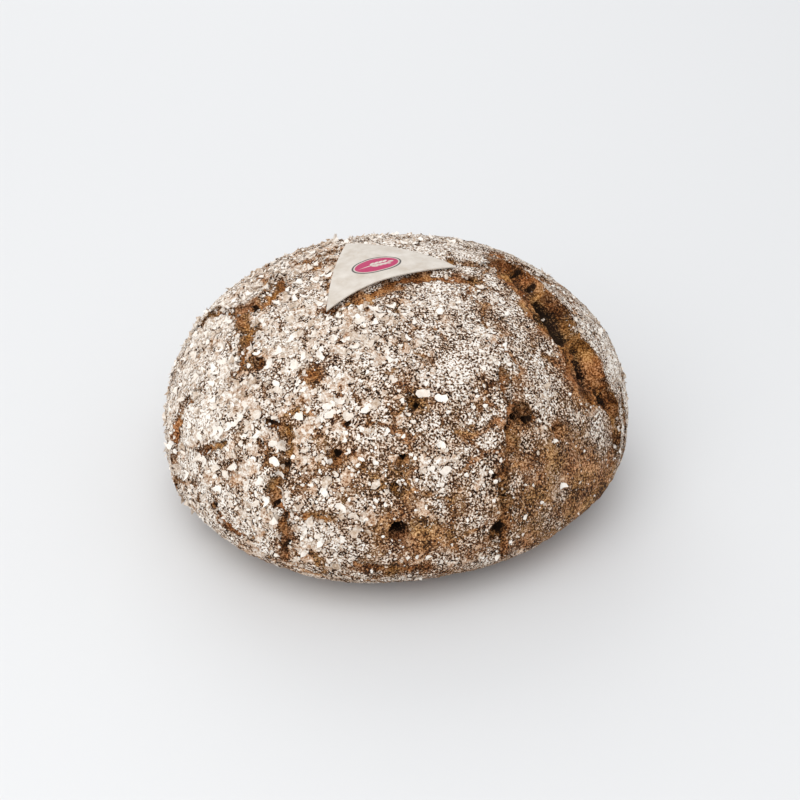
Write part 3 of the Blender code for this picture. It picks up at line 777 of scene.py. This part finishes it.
def print_places(plan):
    """Places in the print's own frame: along the label's front edge and across it (mm)."""
    corners = LABEL_CORNERS + plan_shift()[:2]
    along = corners[2] - corners[0]
    along /= np.linalg.norm(along)
    across = np.array((-along[1], along[0]))
    centre = corners.mean(axis=0)
    return np.column_stack([(plan - centre) @ along, (plan - centre) @ across])


def make_label(settings):
    """The wafer: a thin three-cornered sheet that follows the crown, ripples a little and bridges its seam."""
    steps, plan, height = label_sheet(settings)
    mesh = bmesh.new()
    spots = mesh.loops.layers.uv.new("print")
    grids = []
    for level in (0.0, settings.label_thickness / MM):
        places = np.column_stack([plan, height + level]) * MM
        grids.append({step: mesh.verts.new(place) for step, place in zip(steps, places)})
    spot_of = dict(zip(steps, print_places(plan)))
    step_of = {vert: step for grid in grids for step, vert in grid.items()}
    for grid, facing in zip(grids, (1, -1)):
        for row, column in steps:
            if row + column < LABEL_ROWS:
                near = [grid[row, column], grid[row + 1, column], grid[row, column + 1]]
                mesh.faces.new(near[::facing])
            if row + column < LABEL_ROWS - 1:
                far = [grid[row + 1, column + 1], grid[row, column + 1], grid[row + 1, column]]
                mesh.faces.new(far[::facing])
    rim = [(row, 0) for row in range(LABEL_ROWS)]
    rim += [(LABEL_ROWS - step, step) for step in range(LABEL_ROWS)]
    rim += [(0, LABEL_ROWS - step) for step in range(LABEL_ROWS)]
    for here, there in zip(rim, rim[1:] + rim[:1]):
        mesh.faces.new((grids[0][here], grids[1][here], grids[1][there], grids[0][there]))
    for face in mesh.faces:
        for loop in face.loops:
            loop[spots].uv = spot_of[step_of[loop.vert]]
    bmesh.ops.recalc_face_normals(mesh, faces=mesh.faces[:])
    data = bpy.data.meshes.new("label_wafer")
    mesh.to_mesh(data)
    mesh.free()
    data.shade_smooth()
    data.set_sharp_from_angle(angle=math.radians(50.0))
    colours = {"wafer": "#CDC4B8", "ink": "#B0275A"}
    return new_piece("label_wafer", data, wafer_material(colours), "label")


# ================================================================ loose things on the crust
def grain_form(draw):
    """A broken grain of meal, one unit across: eight faces."""
    spread = draw.uniform(0.72, 1.0, 6)
    ends = np.vstack([np.eye(3), -np.eye(3)]) * (spread * np.array((1, 0.8, 0.6, 1, 0.8, 0.6)))[:, None] / 2.0
    faces = [(0, 1, 2), (1, 3, 2), (3, 4, 2), (4, 0, 2), (1, 0, 5), (3, 1, 5), (4, 3, 5), (0, 4, 5)]
    return ends, faces


def sheet_form(draw, sides, rings, thickness, curl, evenness):
    """A thin uneven plate, one unit across, bent along a line: two skins that meet at the rim."""
    turn = np.arange(sides) * 2.0 * math.pi / sides
    outline = draw.uniform(evenness, 1.15, sides) * np.hypot(np.cos(turn), 0.6 * np.sin(turn)) / 2.0
    bend = curl * draw.uniform(0.4, 1.3)
    upper, lower = [(0.0, 0.0, thickness / 2.0)], [(0.0, 0.0, -thickness / 2.0)]
    for ring in range(1, rings + 1):
        share = ring / rings
        wobble = draw.uniform(-0.05, 0.05, sides) * share
        x, y = np.cos(turn) * outline * share, np.sin(turn) * outline * share
        z = bend * (x * 0.8 + y * 0.6) ** 2 * 4.0 + wobble
        half = 0.0 if ring == rings else thickness / 2.0
        upper += list(zip(x, y, z + half))
        if ring < rings:
            lower += list(zip(x, y, z - half))
    places = np.array(upper + lower)
    faces = []
    for skin, facing in ((0, 1), (len(upper), -1)):
        def vertex(ring, side):
            if ring == 0:
                return skin
            start = 1 + (ring - 1) * sides
            return start + side % sides + (skin if ring < rings else 0)
        for side in range(sides):
            faces.append((vertex(0, 0), vertex(1, side), vertex(1, side + 1))[::facing])
            for ring in range(1, rings):
                faces.append((vertex(ring, side), vertex(ring + 1, side), vertex(ring + 1, side + 1))[::facing])
                faces.append((vertex(ring, side), vertex(ring + 1, side + 1), vertex(ring, side + 1))[::facing])
    return places, faces


def clump_form(draw):
    """A flat angular chip of caked flour, one unit across."""
    mesh = bmesh.new()
    for _ in range(16):
        ray = draw.normal(size=3)
        mesh.verts.new(ray / np.linalg.norm(ray) * (0.5, 0.33, 0.14) * draw.uniform(0.75, 1.0))
    hull = bmesh.ops.convex_hull(mesh, input=mesh.verts[:])
    spare = [item for item in hull["geom_interior"] if isinstance(item, bmesh.types.BMVert)]
    bmesh.ops.delete(mesh, geom=spare, context='VERTS')
    bmesh.ops.triangulate(mesh, faces=mesh.faces[:])
    bmesh.ops.recalc_face_normals(mesh, faces=mesh.faces[:])
    mesh.verts.index_update()
    places = np.array([vert.co for vert in mesh.verts])
    faces = [tuple(vert.index for vert in face.verts) for face in mesh.faces]
    mesh.free()
    return places, faces


# Each kind: form, attribute that says how thickly it lies, forms to pick from
LOOSE_KINDS = {
    "meal_grains": (grain_form, "meal_cover", 5),
    "bran_grit": (grain_form, "grit_cover", 5),
    "flour_flakes": (lambda draw: sheet_form(draw, 6, 1, 0.16, 0.2, 0.5), "flake_cover", 6),
    "bran_flakes": (lambda draw: sheet_form(draw, 9, 2, 0.08, 0.35, 0.6), "bran_cover", 8),
    "flour_clumps": (clump_form, "clump_cover", 6),
}
SHADES = 256        # shades that the pieces of one kind can have; each has its own cell in the bake's map


def form_objects(name, make_form, count):
    """The few forms that the pieces of one kind are copied from, in a collection of their own."""
    draw = np.random.default_rng(sum(map(ord, name)))
    shelf = bpy.data.collections.new(f"{name} forms")
    bpy.context.scene.collection.children.link(shelf)
    for index in range(count):
        places, faces = make_form(draw)
        data = bpy.data.meshes.new(f"{name}_form_{index}")
        data.from_pydata(places.tolist(), [], faces)
        data.attributes.new("place", 'FLOAT_VECTOR', 'POINT').data.foreach_set(
            "vector", places.astype(np.float32).ravel())
        corners = np.array(faces).ravel()
        upward = np.array([face.normal.z >= 0.0 for face in data.polygons]).repeat(3)
        spots = np.clip(places[corners, :2] * 0.8 + 0.5, 0.04, 0.96)
        spots[:, 0] = spots[:, 0] / 2.0 + np.where(upward, 0.0, 0.5)
        data.uv_layers.new(name="OFBake").uv.foreach_set("vector", spots.astype(np.float32).ravel())
        shelf.objects.link(bpy.data.objects.new(f"{name}_form_{index}", data))
    return shelf


def scatter_tree(name, cover, count):
    """Geometry nodes that lay copies of a few forms over a surface, as thickly as an attribute says."""
    tree = bpy.data.node_groups.new(f"Lay {name}", 'GeometryNodeTree')
    sockets = {}
    for label, kind in (("Surface", 'NodeSocketGeometry'), ("Forms", 'NodeSocketCollection'),
                        ("Pieces per square metre", 'NodeSocketFloat'), ("Smallest", 'NodeSocketFloat'),
                        ("Largest", 'NodeSocketFloat'), ("Tilt", 'NodeSocketFloat'), ("Rise", 'NodeSocketFloat'),
                        ("Seed", 'NodeSocketInt'), ("Material", 'NodeSocketMaterial')):
        sockets[label] = tree.interface.new_socket(label, in_out='INPUT', socket_type=kind).identifier
    tree.interface.new_socket("Pieces", in_out='OUTPUT', socket_type='NodeSocketGeometry')
    given = add(tree, "NodeGroupInput").outputs

    thick = add(tree, "GeometryNodeInputNamedAttribute", {"Name": cover}, data_type='FLOAT')
    density = add(tree, "ShaderNodeMath", {0: thick.outputs["Attribute"], 1: given["Pieces per square metre"]},
                  operation='MULTIPLY')
    spread = add(tree, "GeometryNodeDistributePointsOnFaces",
                 {"Mesh": given["Surface"], "Density": density.outputs[0], "Seed": given["Seed"]},
                 distribute_method='RANDOM')
    shade = add(tree, "FunctionNodeRandomValue", {"Min": 0, "Max": SHADES - 1, "Seed": given["Seed"]},
                data_type='INT')
    for socket in shade.inputs:
        if socket.type == 'INT' and socket.name in ("Min", "Max"):
            socket.default_value = 0 if socket.name == "Min" else SHADES - 1
    keep = add(tree, "GeometryNodeStoreNamedAttribute",
               {"Geometry": spread.outputs["Points"], "Name": "cell"}, data_type='INT', domain='POINT')
    tree.links.new([s for s in shade.outputs if s.enabled][0], keep.inputs["Value"])
    cell = add(tree, "GeometryNodeInputNamedAttribute", {"Name": "cell"}, data_type='INT')
    which = add(tree, "FunctionNodeIntegerMath", {0: cell.outputs["Attribute"], 1: count}, operation='MODULO')

    down = add(tree, "ShaderNodeMath", {0: given["Tilt"], 1: -1.0}, operation='MULTIPLY')
    low = add(tree, "ShaderNodeCombineXYZ", {0: down.outputs[0], 1: down.outputs[0], 2: -math.pi})
    high = add(tree, "ShaderNodeCombineXYZ", {0: given["Tilt"], 1: given["Tilt"], 2: math.pi})
    turn = add(tree, "FunctionNodeRandomValue", {"Min": low.outputs[0], "Max": high.outputs[0]},
               data_type='FLOAT_VECTOR')
    swing = add(tree, "FunctionNodeEulerToRotation", {0: turn.outputs[0]})
    stance = add(tree, "FunctionNodeRotateRotation",
                 {"Rotation": spread.outputs["Rotation"], "Rotate By": swing.outputs[0]}, rotation_space='LOCAL')
    luck = add(tree, "FunctionNodeRandomValue", data_type='FLOAT')
    tree.links.new(given["Seed"], luck.inputs["Seed"])
    skewed = add(tree, "ShaderNodeMath", {0: luck.outputs[1], 1: 2.0}, operation='POWER')
    size = add(tree, "ShaderNodeMapRange", {"Value": skewed.outputs[0], "To Min": given["Smallest"],
                                            "To Max": given["Largest"]})
    copies = add(tree, "GeometryNodeInstanceOnPoints",
                 {"Points": keep.outputs[0], "Pick Instance": True, "Instance Index": which.outputs[0],
                  "Rotation": stance.outputs[0], "Scale": size.outputs[0]})
    forms = add(tree, "GeometryNodeCollectionInfo",
                {"Collection": given["Forms"], "Separate Children": True, "Reset Children": True})
    tree.links.new(forms.outputs[0], copies.inputs["Instance"])
    up = add(tree, "ShaderNodeCombineXYZ", {2: given["Rise"]})
    raised = add(tree, "GeometryNodeTranslateInstances",
                 {"Instances": copies.outputs[0], "Translation": up.outputs[0], "Local Space": True})
    real = add(tree, "GeometryNodeRealizeInstances", {0: raised.outputs[0]})
    worn = add(tree, "GeometryNodeSetMaterial", {"Geometry": real.outputs[0], "Material": given["Material"]})
    out = add(tree, "NodeGroupOutput")
    tree.links.new(worn.outputs[0], out.inputs[0])
    return tree, sockets


def shade_pieces(data):
    """Give every copy the shade of its cell, and move its part of the bake's map into that cell."""
    cells = np.empty(len(data.vertices), np.int32)
    data.attributes["cell"].data.foreach_get("value", cells)
    write_fields(data, {"shade": cells / (SHADES - 1.0)})
    data.attributes.remove(data.attributes["cell"])
    corners = np.empty(len(data.loops), np.int32)
    data.loops.foreach_get("vertex_index", corners)
    spots = np.empty(len(data.loops) * 2, np.float32)
    layer = data.uv_layers["OFBake"]
    layer.uv.foreach_get("vector", spots)
    side = int(math.sqrt(SHADES))
    cell = cells[corners]
    corner_of_cell = np.column_stack([cell % side, cell // side])
    layer.uv.foreach_set("vector", ((spots.reshape(-1, 2) + corner_of_cell) / side).astype(np.float32).ravel())


def lay_loose(name, settings, material):
    """Lay one kind of loose thing over the crust and make it one plain mesh."""
    make_form, cover, count = LOOSE_KINDS[name]
    shelf = form_objects(name, make_form, count)
    tree, sockets = scatter_tree(name, cover, count)
    ground = bpy.data.objects.new(f"{name}_ground", bpy.data.objects["loaf_crust"].data)
    bpy.context.scene.collection.objects.link(ground)
    layer = ground.modifiers.new("Lay", 'NODES')
    layer.node_group = tree
    for label, value in (("Forms", shelf), ("Pieces per square metre", settings.per_square_metre),
                         ("Smallest", settings.smallest), ("Largest", settings.largest),
                         ("Tilt", settings.tilt), ("Rise", settings.rise), ("Seed", settings.seed),
                         ("Material", material)):
        layer[sockets[label]] = value
    view = bpy.context.evaluated_depsgraph_get()
    data = bpy.data.meshes.new_from_object(ground.evaluated_get(view), preserve_all_data_layers=True,
                                           depsgraph=view)
    bpy.data.objects.remove(ground)
    for form in list(shelf.objects):
        bpy.data.meshes.remove(form.data)
    bpy.data.collections.remove(shelf)
    bpy.data.node_groups.remove(tree)
    data.name = name
    for spare in ("flour", "crumb", "depth_shade", "caked", "lip"):
        if spare in data.attributes:
            data.attributes.remove(data.attributes[spare])
    shade_pieces(data)
    return new_piece(name, data, material, "loaf")


# ================================================================ the stage
def make_stage(settings):
    """A pale floor, a soft box overhead, softer light from the front left, and the camera."""
    scene = bpy.context.scene
    scene.view_settings.view_transform = 'Standard'
    data = bpy.data.meshes.new("floor")
    half = 3.0
    data.from_pydata([(-half, -half, 0.0), (half, -half, 0.0), (half, half, 0.0), (-half, half, 0.0)], [],
                     [(0, 1, 2, 3)])
    floor = bpy.data.objects.new("floor", data)
    scene.collection.objects.link(floor)
    material, shader = new_material("Pale matt floor", 0.9, 0.1)
    shader.inputs["Base Color"].default_value = (*settings.floor_colour, 1.0)
    data.materials.append(material)

    world = bpy.data.worlds.new("studio")
    world.use_nodes = True
    world.node_tree.nodes["Background"].inputs["Color"].default_value = linear("#F2F4F8")
    world.node_tree.nodes["Background"].inputs["Strength"].default_value = settings.surround
    scene.world = world

    lamps = (("overhead", settings.overhead, 1.4, (-0.25, -0.65, 1.15)),
             ("front_left", settings.front_left, 0.9, (-0.8, -1.0, 0.5)),
             ("behind", settings.behind, 1.2, (-0.3, 1.3, 0.9)))
    aim = Vector((0.0, 0.0, LOAF_HIGH.z / 2.0))
    for name, watts, width, place in lamps:
        light = bpy.data.lights.new(name, 'AREA')
        light.energy = watts
        light.size = width
        lamp = bpy.data.objects.new(name, light)
        lamp.location = place
        lamp.rotation_euler = (aim - lamp.location).to_track_quat('-Z', 'Y').to_euler()
        scene.collection.objects.link(lamp)

    lens = bpy.data.cameras.new("camera")
    lens.lens = 70.0
    lens.sensor_width = 36.0
    camera = bpy.data.objects.new("camera", lens)
    scene.collection.objects.link(camera)
    rise = settings.camera_rise
    back = Vector((0.0, -math.cos(rise), math.sin(rise)))
    target = Vector(settings.camera_target)
    camera.location = target + back * settings.camera_distance
    camera.rotation_euler = (-back).to_track_quat('-Z', 'Y').to_euler()
    scene.camera = camera


# ================================================================ settings
class CrustSettings(bpy.types.PropertyGroup):
    """Sizes of the crust's finish."""
    crust_edge: FloatProperty(name="Crust mesh", description="Longest edge of the mesh on the dome",
                              default=2.0 * MM, subtype='DISTANCE', unit='LENGTH')
    tear_edge: FloatProperty(name="Tear mesh", description="Longest edge of the mesh in the small tears",
                             default=1.0 * MM, subtype='DISTANCE', unit='LENGTH')
    gape_edge: FloatProperty(name="Gape mesh", description="Longest edge of the mesh in the wide gape",
                             default=0.6 * MM, subtype='DISTANCE', unit='LENGTH')
    tear_raggedness: FloatProperty(name="Raggedness", description="How far the tears' lips wander",
                                   default=1.1 * MM, subtype='DISTANCE', unit='LENGTH')
    tear_undercut: FloatProperty(name="Undercut", description="How far a steep side reaches under its lip",
                                 default=1.5 * MM, subtype='DISTANCE', unit='LENGTH')
    crumb_roughness: FloatProperty(name="Crumb relief", description="Height of the torn crumb's strands",
                                   default=0.9 * MM, subtype='DISTANCE', unit='LENGTH')
    crust_relief: FloatProperty(name="Crust relief", description="Height of the small swells of the crust",
                                default=0.8 * MM, subtype='DISTANCE', unit='LENGTH')
    scale_relief: FloatProperty(name="Scale relief", description="Height of the overlapping scales at the left",
                                default=1.3 * MM, subtype='DISTANCE', unit='LENGTH')
    flour_colour_code: bpy.props.StringProperty(name="Flour", description="Colour of the flour as a hex code",
                                                default="#F9F3EA")


class LabelSettings(bpy.types.PropertyGroup):
    """Sizes of the wafer label."""
    label_thickness: FloatProperty(name="Thickness", description="Thickness of the wafer", default=0.5 * MM,
                                   subtype='DISTANCE', unit='LENGTH')
    label_lift: FloatProperty(name="Lift", description="How far the front edge stands over the seam",
                              default=1.3 * MM, subtype='DISTANCE', unit='LENGTH')


class LooseSettings(bpy.types.PropertyGroup):
    """How one kind of loose thing lies on the crust."""
    per_square_metre: FloatProperty(name="Pieces per square metre", description="Where it lies thickest",
                                    default=1.0e6)
    smallest: FloatProperty(name="Smallest", description="Size of the smallest piece", default=0.5 * MM,
                            subtype='DISTANCE', unit='LENGTH')
    largest: FloatProperty(name="Largest", description="Size of the largest piece", default=1.0 * MM,
                           subtype='DISTANCE', unit='LENGTH')
    tilt: FloatProperty(name="Tilt", description="How far a piece may lean", default=0.4, subtype='ANGLE',
                        unit='ROTATION')
    rise: FloatProperty(name="Rise", description="Height of a piece's middle over the crust", default=0.0,
                        subtype='DISTANCE', unit='LENGTH')
    seed: IntProperty(name="Seed", description="Another number lays the pieces elsewhere", default=1)


class StageSettings(bpy.types.PropertyGroup):
    """The floor, the light and the camera."""
    floor_colour: FloatVectorProperty(name="Floor", description="Colour of the floor", size=3, subtype='COLOR',
                                      default=(0.735, 0.735, 0.73), min=0.0, max=1.0)
    surround: FloatProperty(name="Surround", description="Strength of the light from all round", default=0.86)
    overhead: FloatProperty(name="Overhead", description="Power of the overhead soft box", default=8.0,
                            subtype='POWER', unit='POWER')
    front_left: FloatProperty(name="Front left", description="Power of the soft light at the front left",
                              default=3.0, subtype='POWER', unit='POWER')
    behind: FloatProperty(name="Behind", description="Power of the soft light behind", default=5.8,
                          subtype='POWER', unit='POWER')
    camera_rise: FloatProperty(name="Camera rise", description="How far the camera looks down",
                               default=math.radians(34.0), subtype='ANGLE', unit='ROTATION')
    camera_distance: FloatProperty(name="Camera distance", description="From the camera to its target",
                                   default=0.6344, subtype='DISTANCE', unit='LENGTH')
    camera_target: FloatVectorProperty(name="Camera target", description="Where the camera looks", size=3,
                                       default=(0.0011, -0.0023, 0.0378), subtype='TRANSLATION', unit='LENGTH')


class LoafFinish(bpy.types.PropertyGroup):
    """All settings of the loaf's finish."""
    crust: PointerProperty(type=CrustSettings)
    label: PointerProperty(type=LabelSettings)
    meal: PointerProperty(type=LooseSettings)
    grit: PointerProperty(type=LooseSettings)
    flakes: PointerProperty(type=LooseSettings)
    bran: PointerProperty(type=LooseSettings)
    clumps: PointerProperty(type=LooseSettings)
    stage: PointerProperty(type=StageSettings)


# ================================================================ operators
class RYELOAF_OT_crust(bpy.types.Operator):
    """Make the torn, floured crust"""
    bl_idname = "ryeloaf.crust"
    bl_label = "Crust"

    def execute(self, context):
        make_crust(context.scene.rye_loaf.crust)
        return {'FINISHED'}


class RYELOAF_OT_label(bpy.types.Operator):
    """Lay the wafer label on the crown"""
    bl_idname = "ryeloaf.label"
    bl_label = "Wafer label"

    def execute(self, context):
        make_label(context.scene.rye_loaf.label)
        return {'FINISHED'}


class RYELOAF_OT_meal(bpy.types.Operator):
    """Strew meal grains and bran grit over the crust"""
    bl_idname = "ryeloaf.meal"
    bl_label = "Meal and grit"

    def execute(self, context):
        loaf = context.scene.rye_loaf
        lay_loose("meal_grains", loaf.meal, loose_material(
            "Floured rye meal", ((0.0, "#F4ECE0"), (0.5, "#DECFBE"), (0.8, "#BFA689"), (1.0, "#8E6E4C")),
            0.3, 0.9))
        lay_loose("bran_grit", loaf.grit, loose_material(
            "Toasted bran grit", ((0.0, "#3E2614"), (0.4, "#85603F"), (0.65, "#B5905A"), (1.0, "#DCC6A8")),
            0.3, 0.8))
        return {'FINISHED'}


class RYELOAF_OT_flakes(bpy.types.Operator):
    """Strew flour flakes and curled bran flakes over the crust"""
    bl_idname = "ryeloaf.flakes"
    bl_label = "Flakes"

    def execute(self, context):
        loaf = context.scene.rye_loaf
        lay_loose("flour_flakes", loaf.flakes, loose_material(
            "Flour flakes", ((0.0, "#F6F0E7"), (0.4, "#E4DACE"), (0.7, "#C3B19E"), (1.0, "#7E6248")), 1.2, 0.9))
        lay_loose("bran_flakes", loaf.bran, loose_material(
            "Rolled rye bran", ((0.0, "#F7F1E8"), (0.5, "#E4D8CA"), (0.8, "#B9A28B"), (1.0, "#76563A")),
            1.0, 0.75))
        return {'FINISHED'}


class RYELOAF_OT_clumps(bpy.types.Operator):
    """Set clumps of caked flour on the crust"""
    bl_idname = "ryeloaf.clumps"
    bl_label = "Flour clumps"

    def execute(self, context):
        lay_loose("flour_clumps", context.scene.rye_loaf.clumps, loose_material(
            "Caked flour", ((0.0, "#F8F3EB"), (0.5, "#E9DFD3"), (1.0, "#B9A48E")), 1.0, 0.95))
        return {'FINISHED'}


class RYELOAF_OT_stage(bpy.types.Operator):
    """Set the floor, the light and the camera"""
    bl_idname = "ryeloaf.stage"
    bl_label = "Stage"

    def execute(self, context):
        make_stage(context.scene.rye_loaf.stage)
        return {'FINISHED'}


class RYELOAF_PT_finish(bpy.types.Panel):
    """The loaf's settings and the buttons that make its pieces"""
    bl_idname = "RYELOAF_PT_finish"
    bl_label = "Rye Loaf"
    bl_space_type = 'VIEW_3D'
    bl_region_type = 'UI'
    bl_category = "Rye Loaf"

    def draw(self, context):
        loaf = context.scene.rye_loaf
        for operator, groups in BUTTONS:
            box = self.layout.box()
            box.operator(operator.bl_idname)
            for group in groups:
                part = getattr(loaf, group)
                for name in part.bl_rna.properties.keys():
                    if name not in ("rna_type", "name"):
                        box.prop(part, name)


BUTTONS = (
    (RYELOAF_OT_crust, ("crust",)),
    (RYELOAF_OT_label, ("label",)),
    (RYELOAF_OT_meal, ("meal", "grit")),
    (RYELOAF_OT_flakes, ("flakes", "bran")),
    (RYELOAF_OT_clumps, ("clumps",)),
    (RYELOAF_OT_stage, ("stage",)),
)
CLASSES = (CrustSettings, LabelSettings, LooseSettings, StageSettings, LoafFinish,
           *(operator for operator, _ in BUTTONS), RYELOAF_PT_finish)
# How each kind lies: pieces per square metre where thickest, smallest, largest, tilt, rise, seed
LOOSE_DEFAULTS = {
    "meal": (0.5e6, 0.4 * MM, 0.85 * MM, 0.6, -0.05 * MM, 11),
    "grit": (0.5e6, 0.4 * MM, 0.85 * MM, 0.6, -0.05 * MM, 12),
    "flakes": (0.5e6, 1.0 * MM, 2.6 * MM, 0.2, 0.08 * MM, 13),
    "bran": (0.06e6, 2.0 * MM, 5.5 * MM, 0.16, 0.2 * MM, 14),
    "clumps": (0.014e6, 1.4 * MM, 4.0 * MM, 0.2, 0.05 * MM, 15),
}


def register():
    for entry in CLASSES:
        bpy.utils.register_class(entry)
    bpy.types.Scene.rye_loaf = PointerProperty(type=LoafFinish)


def unregister():
    del bpy.types.Scene.rye_loaf
    for entry in reversed(CLASSES):
        bpy.utils.unregister_class(entry)


def main():
    register()
    loaf = bpy.context.scene.rye_loaf
    for group, values in LOOSE_DEFAULTS.items():
        part = getattr(loaf, group)
        names = ("per_square_metre", "smallest", "largest", "tilt", "rise", "seed")
        for name, value in zip(names, values):
            setattr(part, name, value)
    bpy.ops.ryeloaf.crust()
    bpy.ops.ryeloaf.label()
    bpy.ops.ryeloaf.meal()
    bpy.ops.ryeloaf.flakes()
    bpy.ops.ryeloaf.clumps()
    bpy.ops.ryeloaf.stage()


if __name__ == "__main__":
    main()
